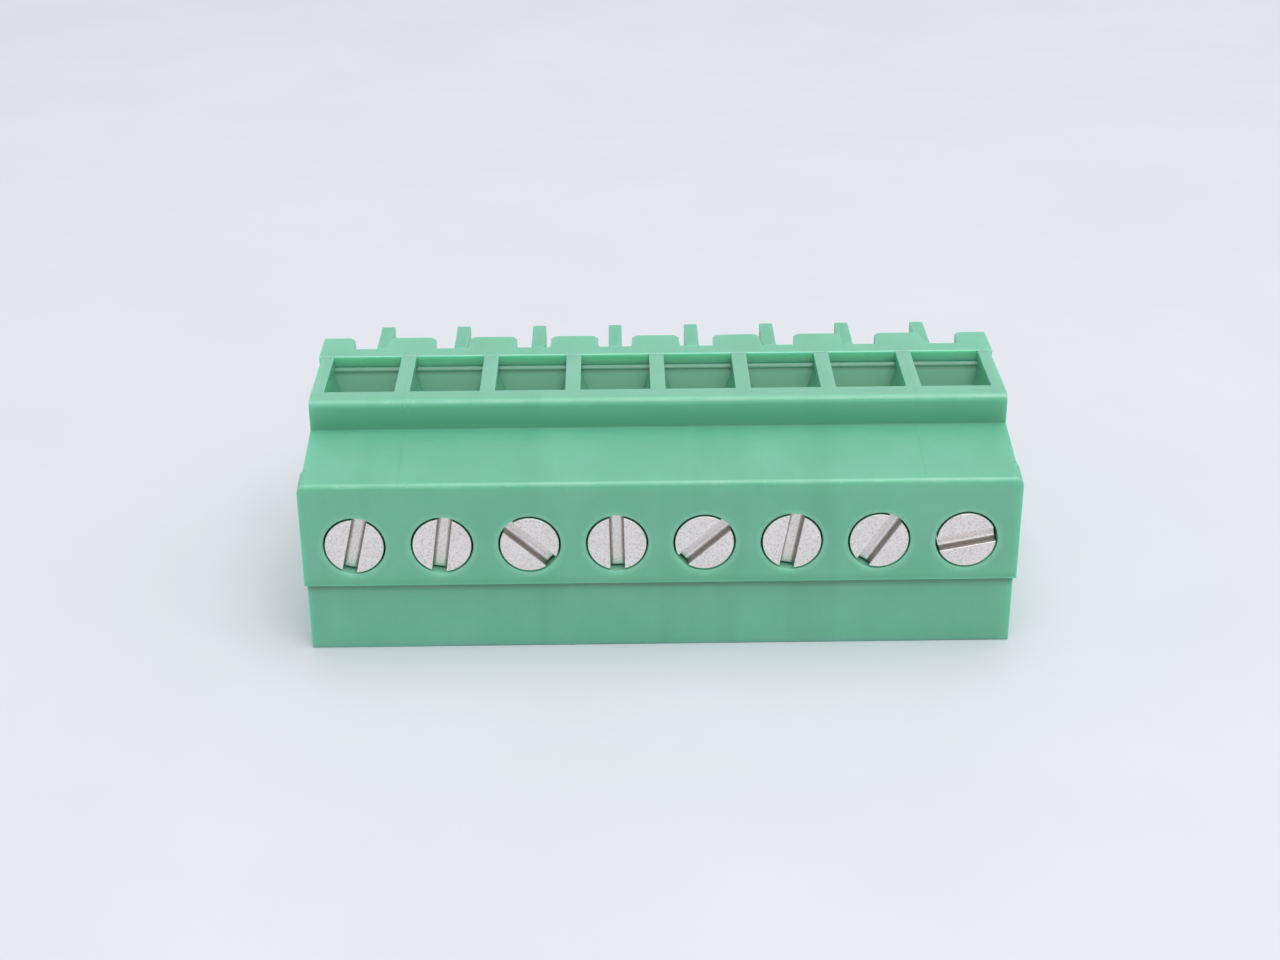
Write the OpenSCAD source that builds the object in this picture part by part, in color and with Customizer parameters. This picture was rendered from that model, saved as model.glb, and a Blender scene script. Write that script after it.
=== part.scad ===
// Angled pluggable screw terminal block, eight poles.
// Two green mouldings hold eight clamps. Each clamp is a captive slotted screw, a rising cage that
// it draws up, and a stamped contact that carries the current from the wire to the header's pin.
// Frame: X along the row, -Y towards the screw heads, +Y towards the header, +Z towards the wires.
// The origin is under the middle of the block, on the surface that it lies on.

/* [Row of poles] */
// Distance from one pole to the next
pitch = 3.81; // [3.7:0.01:4.2]
// Length of one end wall, measured out from the last pole
end_margin = 2.3; // [2.2:0.05:2.8]

/* [Terminal housing] */
// Height of the top face above the base
block_h = 10.39; // [10.2:0.01:11]
// Depth of the housing from the screw face to the joint with the plug body
housing_d = 9.18; // [9.1:0.01:9.6]
// Height of the recessed strip under the screw face
step_z = 3.37; // [2.8:0.01:3.5]
// How far that strip lies behind the screw face
step_in = 0.4; // [0.1:0.05:0.6]
// Height of the screw face's top edge
face_z = 8.26; // [7.8:0.01:8.4]
// Distance from the screw face to the raised wire entries
rim_y = 4.1; // [3.6:0.05:4.4]
// Height of the shelf where it meets the wire entries
crease_z = 9.03; // [8.5:0.01:9.1]

/* [Wire entries] */
// Width of one wire entry
entry_w = 3.13; // [2.8:0.01:3.2]
// Distance from the screw face to the front of the entries
entry_y = 5.15; // [4.9:0.05:5.3]
// Depth of the straight mouth above the funnel
mouth_d = 0.45; // [0.2:0.05:0.8]
// Width of the throat that the bare wire goes through
throat_w = 2.0; // [1.6:0.1:2.1]

/* [Clamp screws] */
// Height of the screw axes above the base
screw_z = 5.29; // [5.25:0.01:5.5]
// Diameter of the screw's head
head_dia = 2.57; // [2.3:0.01:2.6]
// Outer diameter of the screw's thread
thread_dia = 2.0; // [1.8:0.1:2]
// Turns of the screw that take the cage from open to closed
clamp_turns = 5.5; // [4:0.5:6]
// Angle of each screw's slot from upright, clockwise as seen on the head
slot_turns = [13, 8, -48, -1, 48, 10, 33, 79];

/* [Plug body] */
// Distance from the joint to the mating face
plug_d = 9.22; // [8.8:0.01:9.8]
// Height of the underside of the part that enters the header
plug_z0 = 1.4; // [1.2:0.05:1.6]
// Height of its top
plug_z1 = 6.9; // [6.7:0.05:7.1]
// How far the tongues reach behind the rear wall
tongue_l = 1.33; // [0.8:0.01:1.6]
// Width of one coding rib
rib_w = 0.66; // [0.4:0.02:0.9]

/* [Hidden] */
poles = 8;
$fn = 48;
eps = 0.01;

// Where the poles and the walls between them stand
first_x = -(poles - 1) * pitch / 2;
function pole_x(i) = first_x + (i - 1) * pitch;
row = (poles - 1) * pitch;
face_w = row + 2 * end_margin;
depth = housing_d + plug_d;

// Housing
base_w = face_w - 0.13;
body_w = face_w - 0.33;
ear_d = 1.2;
ear_r = 0.35;
face_r = 0.2;
rim_r = 0.32;
soft_r = 0.06;
shelf_slope = atan((crease_z - face_z) / rim_y);
edge_z = face_z + face_r * (tan(shelf_slope) - 1 / cos(shelf_slope));

// Chambers that the cages run in
room_w = 3.1;
room_y = 1.95;
room_z0 = 3.3;
room_z1 = 7.9;

// Screw
head_h = 1.15;
head_sink = 0.04;
head_gap = 0.08;
dish_r = 0.22;
dish_d = 0.07;
fit_gap = 0.05;
slot_w = 0.62;
slot_d = 0.52;
slot_r = 0.2;
shoulder_y = head_sink + head_h + fit_gap;
pitch_of_thread = 0.4;
travel = clamp_turns * pitch_of_thread;

// Contact: one strip of sheet, the current bar at one end and the pin spring at the other
sheet_t = 0.4;
bar_y = 5.4;
bar_w = 1.9;
leg_z = 2.3;
bend_r = 0.7;
pin_z = (plug_z0 + plug_z1) / 2;
box_w = 2.3;
box_h = 2 * (pin_z - leg_z);
box_y0 = 9.6;
box_y1 = 11.3;
leaf_w = 1.6;
nip_y = 15.6;
nip_gap = 0.62;
leaf_end_y = 17.1;
leaf_end_gap = 1.5;

// Cage, drawn in its open place
cage_w = 2.86;
cage_t = 0.38;
cage_h = 3.8;
nut_t = 1.0;
jaw_t = 0.5;
cage_in_y0 = bar_y - 0.1;
cage_in_y1 = cage_in_y0 + travel + sheet_t + 0.2;
cage_y0 = cage_in_y0 - nut_t;
cage_y1 = cage_in_y1 + jaw_t;
cage_r = 0.35;

// Funnel
mouth_z = block_h - mouth_d;
funnel_z = 8.35;
lip_r = 0.2;
groove_w = 0.2;
groove_d = 0.4;
throat_y0 = bar_y + sheet_t + 0.15;
throat_y1 = cage_in_y1 - 0.05;

// Plug body
wall_t = 0.94;
wall_w = face_w - 0.03;
plug_w = row + 3.1;
plug_r = 0.3;
socket_w = 2.6;
socket_h = box_h + 0.1;
socket_y1 = depth - 0.75;
pin_hole_w = 1.5;
pin_hole_h = 1.9;
lead_in = 0.4;
notch_w = 1.5;
notch_flare = 0.1;
tongue_r = 0.3;
tongue_t = 0.8;
gusset_t = 1.5;
rib_l = 3.0;
rib_top = 8.25;
rib_back = 0.15;
rib_r = 0.18;

// Rail and tenons that hold the two mouldings together
rail_w = row - 1;
rail_z0 = 0.7;
rail_z1 = 1.5;
rail_l = 1.2;
tenon_w = 0.9;
tenon_z0 = 8.0;
tenon_z1 = 8.45;
tenon_l = 0.6;

// ---- helpers ----

// Puts a piece drawn from the screw face and the base into the block's own frame
module seat() {
    translate([0, -depth / 2, 0]) children();
}

// Extrudes a (y, z) profile along X, centred on x
module along_x(w, x = 0) {
    translate([x - w / 2, 0, 0]) rotate([90, 0, 90]) linear_extrude(w) children();
}

// Extrudes an (x, z) profile along Y, from y0 to y1
module along_y(y0, y1) {
    translate([0, y1, 0]) rotate([90, 0, 0]) linear_extrude(y1 - y0) children();
}

// What a quarter round takes off a square corner: sx and sy point into the material
module off_corner(p, r, sx, sy) {
    translate(p) difference() {
        translate([sx > 0 ? -1 : -r, sy > 0 ? -1 : -r]) square(r + 1);
        translate([sx * r, sy * r]) circle(r);
    }
}

// A box between two corners
module block(a, b) {
    translate(a) cube(b - a);
}

// A rectangle between two corners with round corners
module round_rect(a, b, r) {
    for (x = [a[0] + r, b[0] - r]) for (y = [a[1] + r, b[1] - r]) translate([x, y]) circle(r);
    translate([a[0] + r, a[1]]) square([b[0] - a[0] - 2 * r, b[1] - a[1]]);
    translate([a[0], a[1] + r]) square([b[0] - a[0], b[1] - a[1] - 2 * r]);
}

// ---- terminal housing ----

// Side view of the part of the housing above the recessed strip
module housing_profile() {
    difference() {
        union() {
            polygon([
                [0, step_z], [0, edge_z], [face_r, edge_z],
                [face_r - face_r * sin(shelf_slope), edge_z + face_r * cos(shelf_slope)],
                [rim_y, crease_z], [rim_y, block_h], [housing_d, block_h], [housing_d, step_z]
            ]);
            translate([face_r, edge_z]) circle(face_r);
        }
        off_corner([rim_y, block_h], rim_r, 1, -1);
    }
}

// The block, its base strip and the wider plate round the screws
module housing_shell() {
    difference() {
        union() {
            along_x(body_w) housing_profile();
            along_x(face_w) intersection() {
                housing_profile();
                translate([0, step_z]) square([ear_d, block_h]);
            }
        }
        // round shoulders of the plate, which follow the slope of the shelf
        for (m = [0, 1]) mirror([m, 0, 0]) intersection() {
            translate([face_w / 2, 0, face_z]) rotate([shelf_slope, 0, 0]) translate([0, 2 * ear_d, 0])
                rotate([90, 0, 0]) linear_extrude(3 * ear_d) off_corner([0, 0], ear_r, -1, -1);
            block([0, -1, step_z], [face_w, ear_d, block_h]);
        }
    }
    intersection() {
        along_x(base_w) difference() {
            translate([step_in, 0]) square([housing_d - step_in, step_z + eps]);
            off_corner([step_in, 0], soft_r, 1, 1);
        }
        along_y(0, housing_d) round_rect([-base_w / 2, 0], [base_w / 2, step_z + 1], soft_r);
    }
}

// Mouth, funnel and throat of one wire entry
module wire_way() {
    block([-entry_w / 2, entry_y, mouth_z], [entry_w / 2, housing_d + eps, block_h + 1]);
    // the groove where the funnel's rear lip meets the plug body
    block([-entry_w / 2, housing_d - groove_w, mouth_z - groove_d], [entry_w / 2, housing_d + eps, mouth_z + eps]);
    intersection() {
        along_x(entry_w) {
            back_y = housing_d - groove_w - lip_r;
            polygon([
                [throat_y0, room_z1 - eps], [throat_y0, funnel_z], [entry_y, mouth_z + eps],
                [back_y, mouth_z + eps], [back_y, mouth_z - lip_r], [throat_y1, funnel_z],
                [throat_y1, room_z1 - eps]
            ]);
            difference() {
                translate([back_y - eps, mouth_z - lip_r]) square([lip_r + eps, lip_r + eps]);
                translate([back_y + lip_r, mouth_z - lip_r]) circle(lip_r);
            }
        }
        along_y(entry_y, housing_d) polygon([
            [-throat_w / 2, room_z1 - eps], [-throat_w / 2, funnel_z], [-entry_w / 2, mouth_z - 0.3],
            [-entry_w / 2, mouth_z + eps], [entry_w / 2, mouth_z + eps],
            [entry_w / 2, mouth_z - 0.3], [throat_w / 2, funnel_z], [throat_w / 2, room_z1 - eps]
        ]);
    }
}

// Head pocket with the shallow dish around its mouth, and the bearing hole of one screw
module screw_way() {
    hole_r = head_dia / 2 + head_gap;
    translate([0, 0, screw_z]) rotate([-90, 0, 0]) {
        translate([0, 0, -1]) cylinder(r = hole_r, h = shoulder_y + 1);
        translate([0, 0, -eps]) cylinder(r1 = hole_r + dish_r, r2 = hole_r - eps, h = dish_d + eps);
        cylinder(d = thread_dia + 2 * fit_gap, h = room_y + eps);
    }
}

// Room for one cage and its contact, open at the rear where they go in
module clamp_room() {
    difference() {
        block([-room_w / 2, room_y, room_z0], [room_w / 2, housing_d + 1, room_z1]);
        // the rib under the roof that the current bar's end leans on
        block([-2, bar_y - 0.7, room_z1 - 0.4], [2, bar_y, room_z1 + 1]);
    }
    // slot in the floor for the current bar and its leg
    block([-bar_w / 2 - fit_gap, bar_y, leg_z - fit_gap], [bar_w / 2 + fit_gap, housing_d + 1, room_z0 + eps]);
}

module terminal_housing() color([0.30, 0.62, 0.47]) seat() difference() {
    housing_shell();
    for (i = [1 : poles]) translate([pole_x(i), 0, 0]) {
        wire_way();
        screw_way();
        clamp_room();
    }
    block([-rail_w / 2, housing_d - rail_l, rail_z0], [rail_w / 2, housing_d + 1, rail_z1]);
    for (i = [1 : poles - 1]) translate([pole_x(i) + pitch / 2, 0, 0])
        block([-tenon_w / 2, housing_d - tenon_l, tenon_z0], [tenon_w / 2, housing_d + 1, tenon_z1]);
}

// ---- plug body ----

// Side view of one tongue with the gusset under it
module tongue_profile() {
    y0 = housing_d + wall_t;
    polygon([
        [y0 - eps, block_h], [y0 + tongue_l, block_h],
        [y0 + tongue_l, block_h - tongue_t], [y0 - eps, block_h - gusset_t]
    ]);
}

// Gap between two tongues, a little wider at its open end, with round tongue corners
module tongue_gap() {
    y0 = housing_d + wall_t;
    y1 = y0 + tongue_l;
    w0 = notch_w / 2;
    w1 = w0 + notch_flare;
    translate([0, 0, block_h - gusset_t - 1]) linear_extrude(gusset_t + 2) {
        polygon([[-w0, y0], [-w1, y1 + eps], [w1, y1 + eps], [w0, y0]]);
        off_corner([w1, y1], tongue_r, 1, -1);
        off_corner([-w1, y1], tongue_r, -1, -1);
    }
}

// The part that enters the header, seen from its mating face
module plug_outline() {
    round_rect([-plug_w / 2, plug_z0], [plug_w / 2, plug_z1], plug_r);
}

// One coding rib, with round ends and a round edge where it meets the header first
module coding_rib() {
    y1 = depth - rib_back;
    intersection() {
        along_x(rib_w) difference() {
            translate([y1 - rib_l, plug_z1 - 0.5]) square([rib_l, rib_top - plug_z1 + 0.5]);
            off_corner([y1, rib_top], plug_r, -1, -1);
        }
        linear_extrude(block_h) round_rect([-rib_w / 2, y1 - rib_l], [rib_w / 2, y1], rib_r);
    }
}

// Room for one contact's spring, and the pin hole with its lead-in
module socket() {
    block([-socket_w / 2, housing_d - 1, pin_z - socket_h / 2], [socket_w / 2, socket_y1, pin_z + socket_h / 2]);
    block([-pin_hole_w / 2, socket_y1 - 1, pin_z - pin_hole_h / 2], [pin_hole_w / 2, depth + 1, pin_z + pin_hole_h / 2]);
    intersection() {
        along_y(depth - lead_in, depth + eps) translate([-pitch / 2, plug_z0]) square([pitch, plug_z1 - plug_z0]);
        linear_extrude(block_h) polygon([
            [-pin_hole_w / 2, depth - lead_in], [-pin_hole_w / 2 - lead_in, depth + eps],
            [pin_hole_w / 2 + lead_in, depth + eps], [pin_hole_w / 2, depth - lead_in]
        ]);
        along_x(pitch) polygon([
            [depth - lead_in, pin_z - pin_hole_h / 2], [depth + eps, pin_z - pin_hole_h / 2 - lead_in],
            [depth + eps, pin_z + pin_hole_h / 2 + lead_in], [depth - lead_in, pin_z + pin_hole_h / 2]
        ]);
    }
}

module plug_body() color([0.31, 0.64, 0.49]) seat() difference() {
    union() {
        // rear wall that closes the chambers
        along_x(wall_w) difference() {
            translate([housing_d, 0]) square([wall_t, block_h]);
            off_corner([housing_d, block_h], soft_r, 1, -1);
            off_corner([housing_d + wall_t, 0], soft_r, -1, 1);
        }
        along_x(wall_w) tongue_profile();
        along_y(housing_d + wall_t - eps, depth) plug_outline();
        for (i = [1 : poles]) translate([pole_x(i), 0, 0]) coding_rib();
        block([-rail_w / 2, housing_d - rail_l, rail_z0], [rail_w / 2, housing_d + eps, rail_z1]);
        for (i = [1 : poles - 1]) translate([pole_x(i) + pitch / 2, 0, 0])
            block([-tenon_w / 2, housing_d - tenon_l, tenon_z0], [tenon_w / 2, housing_d + eps, tenon_z1]);
    }
    for (i = [1 : poles]) translate([pole_x(i), 0, 0]) {
        tongue_gap();
        socket();
    }
}

// ---- clamps ----

// Cross-section of the slot, which is pressed in, so the corners of its floor are round
module slot_shape() {
    translate([-slot_w / 2, -1]) square([slot_w, slot_d - slot_r + 1]);
    translate([slot_r - slot_w / 2, -1]) square([slot_w - 2 * slot_r, slot_d + 1]);
    for (s = [-1, 1]) translate([s * (slot_w / 2 - slot_r), slot_d - slot_r]) circle(slot_r);
}

// Captive screw: slotted head at the face, shank through its shoulder, point at the current bar
module clamp_screw(i) {
    point_y = bar_y - fit_gap;
    color([0.78, 0.77, 0.75]) seat() translate([pole_x(i), 0, screw_z]) rotate([-90, 0, 0]) difference() {
        union() {
            translate([0, 0, head_sink]) cylinder(d = head_dia, h = head_h);
            translate([0, 0, head_sink + head_h - eps]) cylinder(d = thread_dia, h = point_y - head_sink - head_h - 0.3 + eps);
            translate([0, 0, point_y - 0.3]) cylinder(d1 = thread_dia, d2 = thread_dia - 0.6, h = 0.3);
        }
        rotate(slot_turns[i - 1]) translate([0, 0, head_sink]) rotate([90, 0, 0])
            linear_extrude(2 * head_dia, center = true) slot_shape();
    }
}

// Folded cage: the screw runs in its front wall, and its ribbed rear wall clamps the wire
module clamp_cage(i) {
    z0 = screw_z - cage_h / 2;
    color([0.72, 0.73, 0.74]) seat() translate([pole_x(i), 0, 0]) difference() {
        translate([0, 0, z0]) linear_extrude(cage_h) difference() {
            round_rect([-cage_w / 2, cage_y0], [cage_w / 2, cage_y1], cage_r);
            round_rect([-cage_w / 2 + cage_t, cage_in_y0], [cage_w / 2 - cage_t, cage_in_y1], 0.12);
        }
        translate([0, cage_y0 - 1, screw_z]) rotate([-90, 0, 0]) cylinder(d = thread_dia + 2 * fit_gap, h = nut_t + 2);
        for (k = [-1 : 1]) translate([0, cage_in_y1, screw_z + k * 1.1]) rotate([45, 0, 0])
            cube([cage_w - 2 * cage_t - 0.3, 0.22, 0.22], center = true);
    }
}

// Side view of one spring leaf above the pin: a straight arm, the nip and the flared end
module leaf_profile() {
    arm_z = box_h / 2 - sheet_t;
    polygon([
        [box_y1 - eps, arm_z], [box_y1 - eps, arm_z + sheet_t],
        [nip_y - 0.35, nip_gap / 2 + sheet_t + 0.06], [nip_y, nip_gap / 2 + sheet_t],
        [nip_y + 0.35, nip_gap / 2 + sheet_t + 0.06], [leaf_end_y, leaf_end_gap / 2 + sheet_t],
        [leaf_end_y, leaf_end_gap / 2],
        [nip_y + 0.35, nip_gap / 2 + 0.06], [nip_y, nip_gap / 2], [nip_y - 0.35, nip_gap / 2 + 0.06]
    ]);
}

module contact(i) color([0.80, 0.78, 0.72]) seat() translate([pole_x(i), 0, 0]) {
    // current bar, bend and leg
    along_x(bar_w) {
        translate([bar_y, leg_z + bend_r]) square([sheet_t, room_z1 - fit_gap - leg_z - bend_r]);
        translate([bar_y + bend_r, leg_z]) square([box_y0 + eps - bar_y - bend_r, sheet_t]);
        intersection() {
            translate([bar_y, leg_z]) square(bend_r);
            translate([bar_y + bend_r, leg_z + bend_r]) difference() {
                circle(bend_r);
                circle(bend_r - sheet_t);
            }
        }
    }
    // folded box that carries the two leaves
    along_y(box_y0, box_y1) difference() {
        round_rect([-box_w / 2, leg_z], [box_w / 2, leg_z + box_h], 0.25);
        translate([-box_w / 2 + sheet_t, leg_z + sheet_t]) square([box_w - 2 * sheet_t, box_h - 2 * sheet_t]);
    }
    for (m = [0, 1]) translate([0, 0, pin_z]) mirror([0, 0, m]) along_x(leaf_w) leaf_profile();
}

// ---- the block ----

terminal_housing();
plug_body();
for (i = [1 : poles]) {
    clamp_screw(i);
    clamp_cage(i);
    contact(i);
}
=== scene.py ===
# %% [markdown]
# # An angled pluggable terminal block
#
# The block lies on its back on a pale table. Its screws face us, its wire entries face up, and the
# plug that enters a pin header points away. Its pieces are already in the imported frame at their
# real size, so this script gives them what a frame lacks: soft moulded edges, a thread on the
# screws, and finishes that catch the light as green polyamide, nickel, zinc and tin do.

import bmesh
import bpy
import numpy as np
from mathutils import Matrix, Vector
from mathutils.geometry import delaunay_2d_cdt


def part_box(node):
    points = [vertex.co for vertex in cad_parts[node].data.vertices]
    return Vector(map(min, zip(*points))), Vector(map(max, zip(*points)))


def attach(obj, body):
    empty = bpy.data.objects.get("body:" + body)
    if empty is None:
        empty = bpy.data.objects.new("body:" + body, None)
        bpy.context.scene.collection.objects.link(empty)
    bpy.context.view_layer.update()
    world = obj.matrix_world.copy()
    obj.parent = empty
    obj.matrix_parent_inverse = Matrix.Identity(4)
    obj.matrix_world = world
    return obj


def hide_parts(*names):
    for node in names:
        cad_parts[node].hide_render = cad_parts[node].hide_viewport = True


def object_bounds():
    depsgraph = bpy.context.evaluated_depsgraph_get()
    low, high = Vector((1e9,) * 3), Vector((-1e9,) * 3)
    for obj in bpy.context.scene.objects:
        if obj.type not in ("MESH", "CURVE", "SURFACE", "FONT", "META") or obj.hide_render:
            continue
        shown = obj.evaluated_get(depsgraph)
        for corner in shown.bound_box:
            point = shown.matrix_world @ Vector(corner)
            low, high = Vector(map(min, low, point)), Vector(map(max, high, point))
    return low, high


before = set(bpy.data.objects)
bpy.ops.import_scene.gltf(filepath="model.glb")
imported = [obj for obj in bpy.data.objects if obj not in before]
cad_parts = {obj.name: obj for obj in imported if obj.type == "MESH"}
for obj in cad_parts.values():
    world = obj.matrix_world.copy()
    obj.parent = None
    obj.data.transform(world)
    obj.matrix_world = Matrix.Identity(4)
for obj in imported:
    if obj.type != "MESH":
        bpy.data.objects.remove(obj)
cad_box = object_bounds()
MM = 0.001
print("the block's box in millimetres:", [[round(v / MM, 2) for v in corner] for corner in cad_box])

# %% [markdown]
# ## Driving sizes
#
# Every place in this script comes from the frame's boxes and from a few sizes of the real thing:
# the distance between poles, the thread, and how sharp a moulded or stamped edge is. A screw's box
# gives its head, its axis and its point, so the screws are made where the frame holds them.

# %% Driving sizes
POLES = sum(name.startswith("clamp_screw_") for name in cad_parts)
PITCH = 3.81 * MM
THREAD_PITCH = 0.4 * MM
THREAD_DEPTH = 0.2 * MM
HOUSING_EDGE = 0.018 * MM
PLUG_EDGE = 0.05 * MM
HEAD_EDGE = 0.04 * MM
CAGE_EDGE = 0.02 * MM
NO_EDGE = 0.0
FACE_Y = cad_box[0][1]
RIM_Y = FACE_Y + 4.1 * MM
TOP_Z = cad_box[1][2]
FACE_EDGE_Z = 8.2 * MM
CREASE_Z = 9.03 * MM
MOUTH_Z = TOP_Z - 0.45 * MM
JOINT_Y = FACE_Y + 9.18 * MM
STEP_Y = FACE_Y + 0.4 * MM
STEP_Z = 3.37 * MM
HEAD_LENGTH = 1.15 * MM
SCREW_Z = (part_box("clamp_screw_1")[0][2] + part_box("clamp_screw_1")[1][2]) / 2
print(POLES, "poles,", round(PITCH / MM, 2), "mm apart")

# %% [markdown]
# ## The camera
#
# A camera is a place, a direction and a lens. We look along the block's depth, down by about 26
# degrees, with a long lens from about 90 mm away, so the row of screws keeps nearly the same scale
# from end to end. Two angles aim it: yaw turns it about the vertical, and pitch tips it down. Roll
# turns the picture itself. Writing the axes as vectors shows what each angle does.

# %% Camera
CAMERA_PLACE = np.array([-1.775, -80.427, 48.212]) * MM + [0, FACE_Y, 0]
CAMERA_YAW = -0.01099
CAMERA_PITCH = 0.45963
CAMERA_ROLL = -0.00629
CAMERA_LENS = 58.91
SENSOR_WIDTH = 36.0


def camera_axes(yaw, pitch, roll):
    """Right, up and forward: forward is +Y turned by yaw and tipped down by pitch, and right and
    up are then turned about it by roll."""
    forward = np.array([-np.sin(yaw) * np.cos(pitch), np.cos(yaw) * np.cos(pitch), -np.sin(pitch)])
    level = np.array([np.cos(yaw), np.sin(yaw), 0.0])
    upright = np.cross(level, forward)
    right = np.cos(roll) * level + np.sin(roll) * upright
    return right, np.cross(right, forward), forward


def add_camera():
    right, up, forward = camera_axes(CAMERA_YAW, CAMERA_PITCH, CAMERA_ROLL)
    data = bpy.data.cameras.new("camera")
    data.lens = CAMERA_LENS
    data.sensor_width = SENSOR_WIDTH
    data.clip_start = 0.005
    camera = bpy.data.objects.new("camera", data)
    bpy.context.scene.collection.objects.link(camera)
    turn = Matrix([[right[k], up[k], -forward[k]] for k in range(3)]).to_4x4()
    camera.matrix_world = Matrix.Translation(CAMERA_PLACE) @ turn
    bpy.context.scene.camera = camera


add_camera()

# %% [markdown]
# ## Helpers for materials
#
# A finish is a small network of nodes. These helpers keep each network short: one adds a node and
# joins its inputs, and one starts a material whose pattern is laid out in Object coordinates, in
# metres, so that a speck of a tenth of a millimetre has the same size on every piece.

# %% Material helpers


class Finish:
    """A new material with its shader, its Object coordinates and short ways to add nodes."""

    def __init__(self, name):
        self.material = bpy.data.materials.new(name)
        self.material.use_nodes = True
        self.tree = self.material.node_tree
        self.shader = self.tree.nodes["Principled BSDF"]
        self.coords = self.add("ShaderNodeTexCoord")
        self.place = self.coords.outputs["Object"]

    def add(self, kind, inputs=None, **settings):
        """One node: settings are its own choices, and inputs are values or sockets by name."""
        node = self.tree.nodes.new(kind)
        for key, value in settings.items():
            setattr(node, key, value)
        for key, value in (inputs or {}).items():
            if isinstance(value, bpy.types.NodeSocket):
                self.tree.links.new(value, node.inputs[key])
            else:
                node.inputs[key].default_value = value
        return node

    def noise(self, size, detail=3.0, stretch=(1, 1, 1), rough=0.55):
        """Cloudy noise whose patches are about size metres across, longer along a small stretch."""
        spread = self.add("ShaderNodeMapping", {"Vector": self.place, "Scale": stretch})
        node = self.add(
            "ShaderNodeTexNoise",
            {"Vector": spread.outputs[0], "Scale": 1 / size, "Detail": detail, "Roughness": rough},
        )
        return node.outputs["Fac"]

    def ramp(self, value, low, high, out_low=0.0, out_high=1.0):
        """Value from low to high becomes out_low to out_high, smoothly, and stays there beyond."""
        node = self.add(
            "ShaderNodeMapRange",
            {"Value": value, "From Min": low, "From Max": high, "To Min": out_low, "To Max": out_high},
            interpolation_type="SMOOTHSTEP",
        )
        return node.outputs["Result"]

    def sum(self, a, b, kind="ADD"):
        """Two numbers joined by an operation."""
        return self.add("ShaderNodeMath", {0: a, 1: b}, operation=kind).outputs[0]

    def blend(self, amount, a, b):
        """Colour a where amount is 0 and colour b where it is 1."""
        node = self.add("ShaderNodeMix", data_type="RGBA")
        for socket, value in zip((0, 6, 7), (amount, a, b)):
            if isinstance(value, bpy.types.NodeSocket):
                self.tree.links.new(value, node.inputs[socket])
            else:
                node.inputs[socket].default_value = value
        return node.outputs[2]

    def bump(self, height, depth, under=None):
        """Relief of depth metres from a height of 0 to 1, laid over the relief under it."""
        inputs = {"Height": height, "Distance": depth, "Strength": 1.0}
        if under is not None:
            inputs["Normal"] = under
        return self.add("ShaderNodeBump", inputs).outputs["Normal"]

    def use(self, **sockets):
        """Joins or sets the shader's own inputs, such as roughness=0.4."""
        for key, value in sockets.items():
            socket = self.shader.inputs[key.replace("_", " ")]
            if isinstance(value, bpy.types.NodeSocket):
                self.tree.links.new(value, socket)
            else:
                socket.default_value = value


def srgb(red, green, blue):
    """A colour given as it looks on a screen, 0 to 255, as the linear numbers that a shader takes."""
    screen = np.array([red, green, blue]) / 255
    linear = np.where(screen <= 0.04045, screen / 12.92, ((screen + 0.055) / 1.055) ** 2.4)
    return (*linear, 1.0)


# %% [markdown]
# ## Green polyamide
#
# The mouldings are glass-smooth from a distance and not at all close up. The melt leaves slow
# clouds in the colour and faint streaks along its flow, the steel of the mould leaves a fine grain,
# and where two fronts of melt met between poles there is a hairline weld. Much light goes into the
# plastic and comes out beside, so thin walls glow. Each of these is one layer: colour clouds, grain
# as bump, weld lines as a thin darker band with a tiny step, and a large subsurface share.
# Tints then paint shade on the rim's front, in the entries, on their lips and under the step, and paint
# light as a sheen on the tops, highlights along edges and a glow on thin walls and round the screw holes.

# %% Moulded green plastic
GREEN = srgb(95, 181, 147)
GREEN_PALE = srgb(105, 187, 156)
# deeper green of flow streaks and weld lines, also used as painted shade on the rim's front and in the
# entries
GREEN_DEEP_AND_SHADE = srgb(77, 166, 127)
# painted shade under the step and on the lips where the housing meets the plug
GREEN_PAINTED_SHADE = srgb(48, 120, 88)
# painted glow, as of light coming through thin walls, and round the screw holes
GREEN_PAINTED_GLOW = srgb(132, 210, 176)
# whitish colour of real scuffs, also used as a painted sheen on the tops and a painted highlight along
# edges
SCUFF_AND_SHEEN_WHITE = srgb(186, 216, 202)


def weld_line(finish, x, half_width, low):
    """1 on the plane at x and 0 beyond half_width of it, fading away below the height low."""
    part = finish.add("ShaderNodeSeparateXYZ", {0: finish.place})
    wander = finish.sum(finish.noise(1.2 * MM), 0.12 * MM, "MULTIPLY")
    offset = finish.sum(finish.sum(part.outputs[0], wander), x + 0.06 * MM, "SUBTRACT")
    line = finish.ramp(finish.sum(offset, 0.0, "ABSOLUTE"), half_width, 0.0)
    return finish.sum(line, finish.ramp(part.outputs[2], low - 0.2 * MM, low + 0.2 * MM), "MULTIPLY")


def near_edge(finish, y, z, reach):
    """1 on the edge that runs in X at (y, z), falling to 0 at reach from it."""
    part = finish.add("ShaderNodeSeparateXYZ", {0: finish.place})
    flat = finish.add("ShaderNodeCombineXYZ", {1: part.outputs[1], 2: part.outputs[2]}).outputs[0]
    away = finish.add("ShaderNodeVectorMath", {0: flat, 1: (0, y, z)}, operation="DISTANCE")
    return finish.ramp(away.outputs["Value"], reach, 0.2 * reach)


def painted_edge_highlight(finish, y, z, reach):
    """A painted highlight along an edge: the closeness to it, fading in and out along it and broken
    into small glints.
    """
    fading = finish.ramp(finish.noise(1.6 * MM, 3), 0.35, 0.7, 0.1, 0.45)
    glints = finish.ramp(finish.noise(0.12 * MM, 2), 0.62, 0.72, 0, 0.5)
    return finish.sum(near_edge(finish, y, z, reach), finish.sum(fading, glints), "MULTIPLY")


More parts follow.
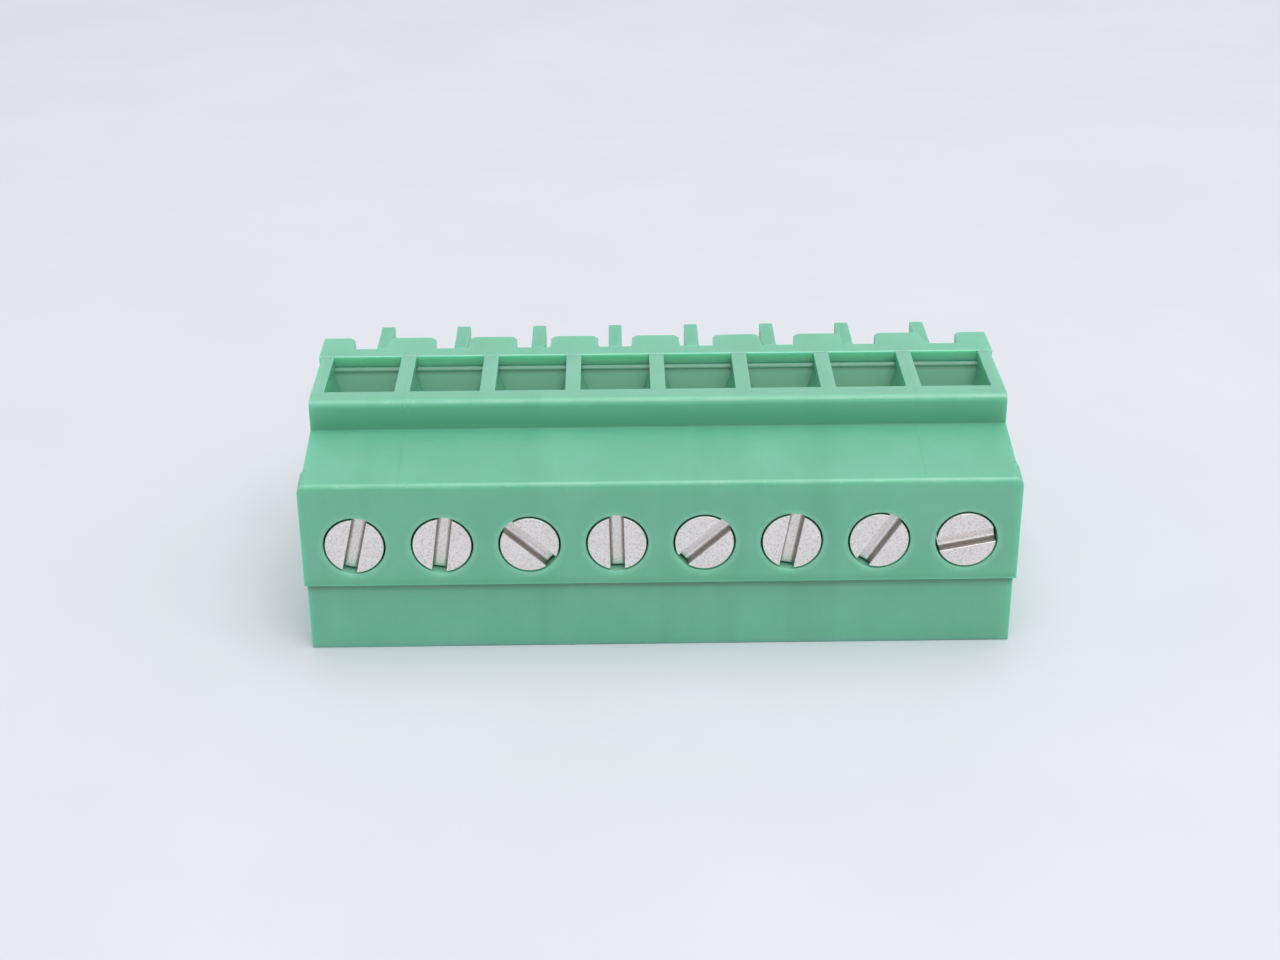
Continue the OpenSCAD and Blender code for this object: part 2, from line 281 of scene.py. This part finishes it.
def hole_ring(finish, z, inner, outer):
    """1 between two radii of the screw axis that is nearest in X, fading towards the outer one."""
    part = finish.add("ShaderNodeSeparateXYZ", {0: finish.place})
    poles_away = finish.sum(part.outputs[0], PITCH, "DIVIDE")
    across = finish.sum(finish.sum(poles_away, 0.0, "FRACT"), 0.5, "SUBTRACT")
    across = finish.sum(across, PITCH, "MULTIPLY")
    flat = finish.add("ShaderNodeCombineXYZ", {0: across, 1: part.outputs[1], 2: part.outputs[2]})
    away = finish.add("ShaderNodeVectorMath", {0: flat.outputs[0], 1: (0, FACE_Y, z)}, operation="DISTANCE")
    edge = finish.ramp(away.outputs["Value"], inner - 0.02 * MM, inner)
    return finish.sum(edge, finish.ramp(away.outputs["Value"], outer, inner), "MULTIPLY")


def zone(finish, low, high, soft):
    """1 between the corners low and high, falling to 0 over a distance of soft outside them."""
    part = finish.add("ShaderNodeSeparateXYZ", {0: finish.place})
    inside = 1.0
    for axis in range(3):
        half, middle = (high[axis] - low[axis]) / 2, (high[axis] + low[axis]) / 2
        away = finish.sum(finish.sum(part.outputs[axis], middle, "SUBTRACT"), 0.0, "ABSOLUTE")
        inside = finish.sum(inside, finish.ramp(away, half + soft, half), "MULTIPLY")
    return inside


def patch(finish, centre, radius):
    """1 at centre falling to 0 at radius from it."""
    away = finish.add("ShaderNodeVectorMath", {0: finish.place, 1: centre}, operation="DISTANCE")
    return finish.ramp(away.outputs["Value"], radius, 0.2 * radius)


def housing_painted_shade_and_light(finish):
    """Painted shade on the rim's front, under the step, in the entries and on their lips, a painted
    sheen on the tops and a painted glow round the screw holes.
    """
    side = cad_box[1][0] - 0.8 * MM
    entries = (-side, RIM_Y + 1.0 * MM, 4 * MM), (side, JOINT_Y, MOUTH_Z)
    lips = (-side, JOINT_Y - 0.4 * MM, 4 * MM), (side, JOINT_Y, MOUTH_Z)
    tops = (2 * cad_box[0][0], FACE_Y, TOP_Z), (2 * cad_box[1][0], JOINT_Y, TOP_Z + MM)
    rim = (2 * cad_box[0][0], RIM_Y - 0.02 * MM, 0), (2 * cad_box[1][0], RIM_Y + 0.3 * MM, TOP_Z)
    height = finish.add("ShaderNodeSeparateXYZ", {0: finish.place}).outputs[2]
    rim_fade = finish.ramp(height, TOP_Z, CREASE_Z + 0.3 * MM)
    return (
        # painted shade down the rim's front, deepest towards the crease
        (0.9, GREEN_DEEP_AND_SHADE, finish.sum(zone(finish, *rim, 0.05 * MM), rim_fade, "MULTIPLY")),
        # painted sheen on the top faces
        (0.12, SCUFF_AND_SHEEN_WHITE, zone(finish, *tops, 0.03 * MM)),
        # painted shadow under the overhanging step
        (0.85, GREEN_PAINTED_SHADE, near_edge(finish, STEP_Y, STEP_Z, 0.6 * MM)),
        # painted shade inside the wire entries
        (0.9, GREEN_DEEP_AND_SHADE, zone(finish, *entries, 0.15 * MM)),
        # painted shade on the lip where the housing meets the plug in each entry
        (0.8, GREEN_PAINTED_SHADE, zone(finish, *lips, 0.08 * MM)),
        # painted glow on the rim and wall of each screw hole
        (0.6, GREEN_PAINTED_GLOW, hole_ring(finish, SCREW_Z, 1.36 * MM, 1.66 * MM)),
    )


def plug_painted_glow(finish):
    """Painted glow on the plug's top wall, which is thin where the entries open, as if lit through,
    and strongest on its front face inside the entries.
    """
    side = cad_box[1][0]
    top = (-side, FACE_Y, TOP_Z - 0.3 * MM), (side, JOINT_Y + 2 * MM, TOP_Z)
    front = (-side, FACE_Y, MOUTH_Z), (side, JOINT_Y + 0.05 * MM, TOP_Z)
    return (
        # painted glow over the plug's thin top wall
        (0.25, GREEN_PAINTED_GLOW, zone(finish, *top, 0.5 * MM)),
        # painted glow on the plug's front face inside the entries
        (0.9, GREEN_PAINTED_GLOW, zone(finish, *front, 0.06 * MM)),
    )


def moulded_green(name, tints, welds=(), scuffs=(), edges=()):
    """Green plastic with its tints of painted shade and light, weld lines at (x, low), scuffs at
    (centre, radius) and painted highlights along edges at (y, z)."""
    finish = Finish(name)
    clouds = finish.ramp(finish.noise(3.5 * MM, 4), 0.3, 0.7)
    colour = finish.blend(clouds, GREEN, GREEN_PALE)
    streaks = finish.ramp(finish.noise(2.2 * MM, 2, stretch=(1, 0.12, 0.12)), 0.5, 0.72, 0, 0.3)
    colour = finish.blend(streaks, colour, GREEN_DEEP_AND_SHADE)
    grain = finish.noise(0.06 * MM, 2)
    relief = finish.bump(grain, 0.0009 * MM)
    relief = finish.bump(finish.noise(0.7 * MM, 3), 0.006 * MM, relief)
    for x, low in welds:
        line = weld_line(finish, x, 0.06 * MM, low)
        colour = finish.blend(finish.sum(line, 0.3, "MULTIPLY"), colour, GREEN_DEEP_AND_SHADE)
        relief = finish.bump(line, -0.0015 * MM, relief)
    # a painted highlight, broken into glints, along each edge; the same pattern also raises a faint relief
    for y, z in edges:
        edge_shine = painted_edge_highlight(finish, y, z, 0.16 * MM)
        colour = finish.blend(finish.sum(edge_shine, 0.45, "MULTIPLY"), colour, SCUFF_AND_SHEEN_WHITE)
        relief = finish.bump(edge_shine, 0.002 * MM, relief)
    for amount, tone, mask in tints(finish):
        colour = finish.blend(finish.sum(mask, amount, "MULTIPLY"), colour, tone)
    rough = finish.ramp(finish.noise(0.9 * MM, 3), 0.3, 0.7, 0.35, 0.44)
    for centre, radius in scuffs:
        broken = finish.ramp(finish.noise(0.11 * MM, 3), 0.5, 0.66)
        mark = finish.sum(patch(finish, centre, radius), broken, "MULTIPLY")
        colour = finish.blend(finish.sum(mark, 0.3, "MULTIPLY"), colour, SCUFF_AND_SHEEN_WHITE)
        relief = finish.bump(mark, 0.003 * MM, relief)
    finish.use(Base_Color=colour, Roughness=rough, Normal=relief, IOR=1.85)
    finish.use(Subsurface_Weight=0.8, Subsurface_Scale=1.0 * MM)
    finish.shader.inputs["Subsurface Radius"].default_value = (0.25, 1.0, 0.6)
    return finish.material


weld_x = 3 * PITCH
rim_scuff = ((-weld_x + 0.3 * MM, RIM_Y, TOP_Z - 0.2 * MM), 0.45 * MM)
# the edges that get a painted highlight: the face's top edge and the rim's top edge
highlit_edges = ((FACE_Y + 0.05 * MM, FACE_EDGE_Z), (RIM_Y + 0.09 * MM, TOP_Z - 0.09 * MM))
housing_green = moulded_green(
    "housing green",
    housing_painted_shade_and_light,
    welds=((0.12 * MM - weld_x, FACE_EDGE_Z), (weld_x, FACE_EDGE_Z)),
    scuffs=(rim_scuff,),
    edges=highlit_edges,
)
plug_green = moulded_green("plug green", plug_painted_glow)
print("materials:", [material.name for material in bpy.data.materials])

# %% [markdown]
# ## Plated metals
#
# Nickel on a turned screw head is dull and faintly speckled. Zinc on the cage is bluer and tin on
# the contact is whiter and softer. One function makes them all, because they differ only in colour,
# in how rough they are and in the size of their speckle.
# The nickel also gets painted shade on the walls of its slots.

# %% Plated metal


def slot_walls(finish):
    """1 on what is turned away from the screw's axis between the face of the head and its back,
    which is the walls of the slot and the rim of the head."""
    part = finish.add("ShaderNodeSeparateXYZ", {0: finish.place})
    before = finish.ramp(part.outputs[1], FACE_Y + HEAD_LENGTH, FACE_Y + 0.8 * HEAD_LENGTH)
    behind = finish.ramp(part.outputs[1], FACE_Y + 0.07 * MM, FACE_Y + 0.16 * MM)
    facing = finish.add("ShaderNodeSeparateXYZ", {0: finish.coords.outputs["Normal"]}).outputs[1]
    turned = finish.ramp(finish.sum(facing, 0.0, "ABSOLUTE"), 0.92, 0.5)
    return finish.sum(finish.sum(before, behind, "MULTIPLY"), turned, "MULTIPLY")


def plated(name, colour, dark, rough, speck, wall_shade=None):
    """A metal whose colour, gloss and relief all follow a speckle of about speck metres. The last
    colour, if given, is painted shade on the walls of a screw's slot and the rim of its head."""
    finish = Finish(name)
    specks = finish.ramp(finish.noise(speck, 3, rough=0.7), 0.45, 0.68)
    clouds = finish.ramp(finish.noise(0.9 * MM, 3), 0.3, 0.75)
    tone = finish.blend(finish.sum(specks, 0.5, "MULTIPLY"), colour, dark)
    tone = finish.blend(finish.sum(clouds, 0.14, "MULTIPLY"), tone, dark)
    # painted shade on the slot walls and the head's rim, where they lie in shadow
    if wall_shade is not None:
        tone = finish.blend(finish.sum(slot_walls(finish), 0.4, "MULTIPLY"), tone, wall_shade)
    gloss = finish.ramp(specks, 0, 1, rough, rough + 0.12)
    relief = finish.bump(specks, 0.0014 * MM)
    finish.use(Base_Color=tone, Metallic=1.0, Roughness=gloss, Normal=relief)
    return finish.material


# the colour of the painted shade in the screw slots
SLOT_WALL_SHADE = srgb(112, 98, 90)
nickel = plated("dull nickel", srgb(239, 234, 231), srgb(178, 166, 162), 0.36, 0.09 * MM, SLOT_WALL_SHADE)
zinc = plated("zinc plate", srgb(205, 208, 212), srgb(150, 153, 158), 0.32, 0.1 * MM)
tin = plated("tin plate", srgb(222, 219, 210), srgb(176, 172, 160), 0.28, 0.12 * MM)

# %% [markdown]
# ## Softened copies
#
# No moulded or stamped edge is truly sharp, and a thin bright line along each edge is much of what
# makes plastic look like plastic. The frame's nodes are loose triangles with knife edges, so each
# one is copied, its doubles are merged and its flat areas joined into whole faces. A bevel then
# rounds only the edges that turn by more than SHARP_ANGLE, which leaves the smooth walls of holes
# and fillets alone. Each width is small enough that no rounded edge runs into its neighbour. The
# flats are cut anew from their outlines, and corner normals keep them flat beside the rounding.

# %% Softened copies
SHARP_ANGLE = np.radians(28)
NARROW_CORNER = np.radians(25)
FLAT_COSINE = np.cos(np.radians(0.5))
BEVEL_SLOT = 1
PLANE_STEPS = 500


def clean_copy(node):
    """The node's triangles as one joined shape, with every flat area made a single face."""
    shape = bmesh.new()
    shape.from_mesh(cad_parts[node].data)
    bmesh.ops.remove_doubles(shape, verts=shape.verts, dist=0.003 * MM)
    bmesh.ops.dissolve_limit(
        shape,
        angle_limit=np.radians(1.0),
        verts=shape.verts,
        edges=shape.edges,
        use_dissolve_boundaries=False,
    )
    return shape


def mark_edges(shape, width):
    """Weighs with 1, for the bevel, each edge that turns by more than SHARP_ANGLE. The edges round
    a small face with a corner under NARROW_CORNER stay at 0: two bevels that leave one point almost
    in line with each other would cross far outside the piece."""
    weight = shape.edges.layers.float.new("bevel_weight_edge")
    sharp = {edge for edge in shape.edges if edge.calc_face_angle(0) > SHARP_ANGLE}
    slivers = {
        corner.face
        for edge in sharp
        for corner in edge.link_loops
        if corner.link_loop_prev.edge in sharp
        and corner.calc_angle() < NARROW_CORNER
        and corner.face.calc_area() < (2 * width) ** 2
    }
    for edge in sharp:
        edge[weight] = 0.0 if slivers.intersection(edge.link_faces) else 1.0


def keep_inside(mesh, node):
    """Clips every point to the node's own box, x, y and z each between its least and most."""
    place = np.empty(len(mesh.vertices) * 3)
    mesh.vertices.foreach_get("co", place)
    mesh.vertices.foreach_set("co", np.clip(place.reshape(-1, 3), *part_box(node)).ravel())


def add_piece(name, mesh, node, body, finish):
    """Puts a mesh in the scene as a piece that moves with body and stands in for node."""
    mesh.polygons.foreach_set("use_smooth", np.ones(len(mesh.polygons), dtype=bool))
    mesh.materials.clear()
    mesh.materials.append(finish)
    piece = bpy.data.objects.new(name, mesh)
    bpy.context.scene.collection.objects.link(piece)
    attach(piece, body)
    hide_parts(node)
    return piece


def face_weights(mesh):
    """Each face's normal, and how much it counts: the area in square millimetres of all faces on
    its plane, times the square of their mean width, which is area over half the outline."""
    loops, faces = len(mesh.loops), len(mesh.polygons)
    corner, first, size = np.empty(loops, int), np.empty(faces, int), np.empty(faces, int)
    area, normal, place = np.empty(faces), np.empty(faces * 3), np.empty(len(mesh.vertices) * 3)
    mesh.loops.foreach_get("vertex_index", corner)
    mesh.polygons.foreach_get("loop_start", first)
    mesh.polygons.foreach_get("loop_total", size)
    mesh.polygons.foreach_get("area", area)
    mesh.polygons.foreach_get("normal", normal)
    mesh.vertices.foreach_get("co", place)
    normal, place = normal.reshape(-1, 3), place.reshape(-1, 3) / MM
    face = np.repeat(np.arange(faces), size)
    following = np.arange(loops) + 1
    following[first + size - 1] = first
    length = np.linalg.norm(place[corner[following]] - place[corner], axis=1)
    outline = np.bincount(face, length, faces)
    height = (normal * place[corner[first]]).sum(1)
    planes = np.round(np.c_[normal, height] * PLANE_STEPS)
    plane = np.unique(planes, axis=0, return_inverse=True)[1].ravel()
    plane_area = np.bincount(plane, area / MM**2)
    width = plane_area / np.bincount(plane, outline / 2)
    return normal, (plane_area * width**2)[plane], corner, face


def settle_normals(mesh, cone=np.radians(50), flat=0.05):
    """Gives every corner the weighted mean of the normals round its vertex that lie within a cone
    of its own face's normal. A face that counts for more than flat, and for a tenth of the most
    beside it, keeps its own normal, so flat areas shade flat right up to their rounded edges."""
    normal, weight, corner, face = face_weights(mesh)
    order = np.argsort(corner, kind="stable")
    count = np.bincount(corner)
    start = np.cumsum(count) - count
    mates = count[corner]
    here = np.repeat(np.arange(len(corner)), mates)
    step = np.arange(mates.sum()) - np.repeat(np.cumsum(mates) - mates, mates)
    there = order[start[corner[here]] + step]
    near = (normal[face[here]] * normal[face[there]]).sum(1) > np.cos(cone)
    counts = np.where(near, weight[face[there]], 0.0)
    mean = np.stack([np.bincount(here, counts * normal[face[there], k]) for k in range(3)], 1)
    most = np.zeros(len(corner))
    np.maximum.at(most, here, counts)
    own = (weight[face] > flat) & (weight[face] > 0.1 * most)
    mean = np.where(own[:, None], normal[face], mean)
    mesh.normals_split_custom_set(mean / np.linalg.norm(mean, axis=1, keepdims=True))


def flat_groups(shape):
    """The faces that are the frame's own, not the bevel's, in groups that touch and lie in one
    plane. A group is found by spreading from a face to its neighbours until none is left."""
    groups, seen = [], set()
    for seed in sorted(shape.faces, key=lambda face: -face.calc_area()):
        if seed in seen or seed.material_index == BEVEL_SLOT:
            continue
        group = [seed]
        seen.add(seed)
        for face in group:
            for near in {near for edge in face.edges for near in edge.link_faces} - seen:
                if near.material_index != BEVEL_SLOT and abs(near.normal.dot(seed.normal)) > FLAT_COSINE:
                    seen.add(near)
                    group.append(near)
        groups.append(group)
    return groups


def inside_outline(spots, starts, ends):
    """True for each spot from which a line along x crosses the outline's edges an odd number of
    times. An edge is crossed when its ends lie on either side in y and it passes at a larger x."""
    x, y = spots[:, :1], spots[:, 1:]
    straddles = (starts[:, 1] > y) != (ends[:, 1] > y)
    rise = np.where(starts[:, 1] == ends[:, 1], 1.0, ends[:, 1] - starts[:, 1])
    meets = starts[:, 0] + (y - starts[:, 1]) * (ends[:, 0] - starts[:, 0]) / rise
    return (straddles & (meets > x)).sum(1) % 2 == 1


def retile(shape, group):
    """Cuts a flat group anew into triangles between the points of its outline. The bevel moves the
    joints inside a flat and can carry one across a hole, but leaves the outline sound. Gives 1, and
    changes nothing, where the outline crosses itself, and otherwise 0."""
    faces = set(group)
    edges = {edge for face in group for edge in face.edges}
    outline = [edge for edge in edges if sum(face in faces for face in edge.link_faces) == 1]
    points = list({point for edge in outline for point in edge.verts})
    index = {point: k for k, point in enumerate(points)}
    upright = group[0].normal.to_track_quat("Z", "Y").inverted()
    flat = [(upright @ point.co).to_2d() / MM for point in points]
    pairs = [(index[edge.verts[0]], index[edge.verts[1]]) for edge in outline]
    spots, _, corners, _, _, _ = delaunay_2d_cdt(flat, pairs, [], 0, 1e-6)
    if len(spots) != len(points):
        return 1
    place, corners, ends = np.array(flat), np.array(corners), np.array(pairs)
    corners = corners[inside_outline(place[corners].mean(1), place[ends[:, 0]], place[ends[:, 1]])]
    bmesh.ops.delete(shape, geom=group, context="FACES_ONLY")
    for corner in corners.tolist():
        shape.faces.new([points[k] for k in corner])
    return 0


def soften(piece, node, shape, width, segments=2):
    """Gives the piece the shape with its marked edges rounded to width, and cuts its flats anew.
    Clamping is off, because a clamped bevel shrinks everywhere to suit the shortest edge."""
    mark_edges(shape, width)
    shape.to_mesh(piece.data)
    shape.free()
    plain = piece.data
    plain.materials.append(plain.materials[0])
    if width:
        bevel = piece.modifiers.new("edges", "BEVEL")
        bevel.width = width
        bevel.segments = segments
        bevel.limit_method = "WEIGHT"
        bevel.use_clamp_overlap = False
        bevel.loop_slide = False
        bevel.miter_outer = "MITER_ARC"
        bevel.material = BEVEL_SLOT
    rounded = piece.evaluated_get(bpy.context.evaluated_depsgraph_get())
    piece.data = bpy.data.meshes.new_from_object(rounded)
    piece.modifiers.clear()
    bpy.data.meshes.remove(plain)
    shape = bmesh.new()
    shape.from_mesh(piece.data)
    groups = [group for group in flat_groups(shape) if len(group) > 1 or len(group[0].verts) > 4]
    left = sum(retile(shape, group) for group in groups)
    if left:
        print(piece.name, "keeps", left, "flats as the bevel left them")
    bmesh.ops.delete(shape, geom=[edge for edge in shape.edges if not edge.link_faces], context="EDGES")
    bmesh.ops.delete(shape, geom=[point for point in shape.verts if not point.link_faces], context="VERTS")
    for face in shape.faces:
        face.smooth = True
        face.material_index = 0
    shape.to_mesh(piece.data)
    shape.free()
    piece.data.materials.pop()
    keep_inside(piece.data, node)
    settle_normals(piece.data)


def softened(node, body, width, finish, segments=2):
    """The node's shape again with its edges rounded to width, standing in for the node."""
    name = node + "_soft"
    piece = add_piece(name, bpy.data.meshes.new(name), node, body, finish)
    soften(piece, node, clean_copy(node), width, segments)


softened("terminal_housing", "block", HOUSING_EDGE, housing_green, 3)
softened("plug_body", "block", PLUG_EDGE, plug_green, 3)
for pole in range(1, POLES + 1):
    softened(f"clamp_cage_{pole}", f"cage_{pole}", CAGE_EDGE, zinc)
    softened(f"contact_{pole}", "block", NO_EDGE, tin)

# %% [markdown]
# ## Threaded screws
#
# The frame's screws have plain shanks, and a real one is a rolled thread. The head with its slot is
# the frame's, cut off just behind its shoulder. The shank is a surface of two parameters, the turn
# round the axis and the distance along it, and its radius dips once a pitch in a groove with sloped
# sides. Making the groove depend on distance divided by pitch, less the turn, is what winds it into
# a helix: one turn further round, the groove has moved one pitch along.

# %% Threaded screws
SPOKES = 40
ROWS_PER_PITCH = 12
POINT_CHAMFER = 0.3 * MM
SHANK_RADIUS = 1.0 * MM


def thread_radius(along, turn, length, shank):
    """Shank radius less the depth of the groove. With d the distance of the phase from a half, the
    groove is 1 for d under 1/8, 0 over 3/8 and straight between, and it fades within a pitch of
    either end. The point is a cone that loses as much radius as it gains length."""
    phase = np.mod(along / THREAD_PITCH - turn, 1.0)
    groove = np.clip((0.375 - np.abs(phase - 0.5)) / 0.25, 0, 1)
    fade = np.clip(np.minimum(along, length - along) / THREAD_PITCH, 0, 1)
    point = shank - np.clip(along - (length - POINT_CHAMFER), 0, None)
    return np.minimum(shank - THREAD_DEPTH * groove * fade, point)


def thread_mesh(name, centre_x, centre_z, start, end, shank):
    """Rings of points round the Y direction: x is the centre plus radius times the sine of the
    turn, z the centre plus radius times its cosine, and flat caps close both ends."""
    rows = int((end - start) / THREAD_PITCH * ROWS_PER_PITCH) + 1
    steps, turns = np.linspace(0, end - start, rows), np.arange(SPOKES) / SPOKES
    along, turn = np.meshgrid(steps, turns, indexing="ij")
    radius = thread_radius(along, turn, end - start, shank)
    angle = 2 * np.pi * turn
    x, z = centre_x + radius * np.sin(angle), centre_z + radius * np.cos(angle)
    points = np.stack([x, start + along, z], -1)
    index = np.arange(rows * SPOKES).reshape(rows, SPOKES)
    beside = np.roll(index, -1, axis=1)
    quads = np.stack([index[:-1], beside[:-1], beside[1:], index[1:]], -1).reshape(-1, 4)
    caps = [index[0, ::-1].tolist(), index[-1].tolist()]
    mesh = bpy.data.meshes.new(name)
    mesh.from_pydata(points.reshape(-1, 3).tolist(), [], quads.tolist() + caps)
    return mesh


def threaded_screw(pole):
    """The head of the frame's screw and a threaded shank behind it, both turning with the screw."""
    node, body = f"clamp_screw_{pole}", f"screw_{pole}"
    low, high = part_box(node)
    cut = low.y + HEAD_LENGTH + 0.1 * MM
    head = clean_copy(node)
    whole = head.verts[:] + head.edges[:] + head.faces[:]
    bmesh.ops.bisect_plane(
        head, geom=whole, plane_co=(0, cut, 0), plane_no=(0, 1, 0), clear_outer=True
    )
    bmesh.ops.holes_fill(head, edges=[edge for edge in head.edges if edge.is_boundary])
    name = node + "_head"
    piece = add_piece(name, bpy.data.meshes.new(name), node, body, nickel)
    soften(piece, node, head, HEAD_EDGE)
    middle = (low + high) / 2
    thread = thread_mesh(node + "_thread", middle.x, middle.z, cut, high.y, SHANK_RADIUS)
    add_piece(node + "_thread", thread, node, body, nickel)
    return len(thread.polygons)


faces = sum(threaded_screw(pole) for pole in range(1, POLES + 1))
print("faces in the threads:", faces)

# %% [markdown]
# ## Table and light
#
# The table is a pale sheet. The light is what a small product is usually shown in: a bright, even
# dome and three soft panels. The strongest stands in front, one hangs overhead so that the tops
# catch a sheen, and a weak one stands at the right. Camera and gloss see a plain pale colour.

# %% Table and light
TABLE = srgb(222, 224, 230)
BACKDROP = srgb(232, 235, 243)


def add_table(size=1.2):
    mesh = bpy.data.meshes.new("table")
    corners = np.array([[-1, -1, 0], [1, -1, 0], [1, 1, 0], [-1, 1, 0]]) * size
    mesh.from_pydata(corners.tolist(), [], [(0, 1, 2, 3)])
    table = bpy.data.objects.new("table", mesh)
    bpy.context.scene.collection.objects.link(table)
    finish = Finish("table")
    tone = finish.ramp(finish.noise(14 * MM, 3), 0.3, 0.7, 0, 0.25)
    finish.use(Base_Color=finish.blend(tone, TABLE, BACKDROP), Roughness=0.7)
    mesh.materials.append(finish.material)


def add_panel(name, place, aim, size, power):
    """A square lamp of the given size in metres, at place, facing aim."""
    data = bpy.data.lights.new(name, "AREA")
    data.energy = power
    data.size = size
    lamp = bpy.data.objects.new(name, data)
    bpy.context.scene.collection.objects.link(lamp)
    away = Vector(aim) - Vector(place)
    lamp.rotation_mode = "QUATERNION"
    lamp.rotation_quaternion = away.to_track_quat("-Z", "Y")
    lamp.location = place


def set_world(strength):
    world = bpy.data.worlds.new("world")
    bpy.context.scene.world = world
    world.use_nodes = True
    tree = world.node_tree
    back = tree.nodes["Background"]
    back.inputs["Color"].default_value = (1, 1, 1, 1)
    back.inputs["Strength"].default_value = strength
    seen = tree.nodes.new("ShaderNodeBackground")
    seen.inputs["Color"].default_value = BACKDROP
    seen.inputs["Strength"].default_value = 1.0
    path = tree.nodes.new("ShaderNodeLightPath")
    mix = tree.nodes.new("ShaderNodeMixShader")
    shown = tree.nodes.new("ShaderNodeMath")
    shown.operation = "MAXIMUM"
    tree.links.new(path.outputs["Is Camera Ray"], shown.inputs[0])
    tree.links.new(path.outputs["Is Glossy Ray"], shown.inputs[1])
    tree.links.new(shown.outputs[0], mix.inputs[0])
    tree.links.new(back.outputs[0], mix.inputs[1])
    tree.links.new(seen.outputs[0], mix.inputs[2])
    tree.links.new(mix.outputs[0], tree.nodes["World Output"].inputs["Surface"])


add_table()
set_world(0.6)
add_panel("front panel", (0.05, -0.19, 0.35), (0, 0, 0), 0.3, 0.58)
add_panel("top panel", (0.03, 0.05, 0.42), (0, 0, 0), 0.3, 0.4)
add_panel("side panel", (0.3, -0.08, 0.26), (0, 0, 0), 0.2, 0.07)
bpy.context.scene.view_settings.view_transform = "Standard"
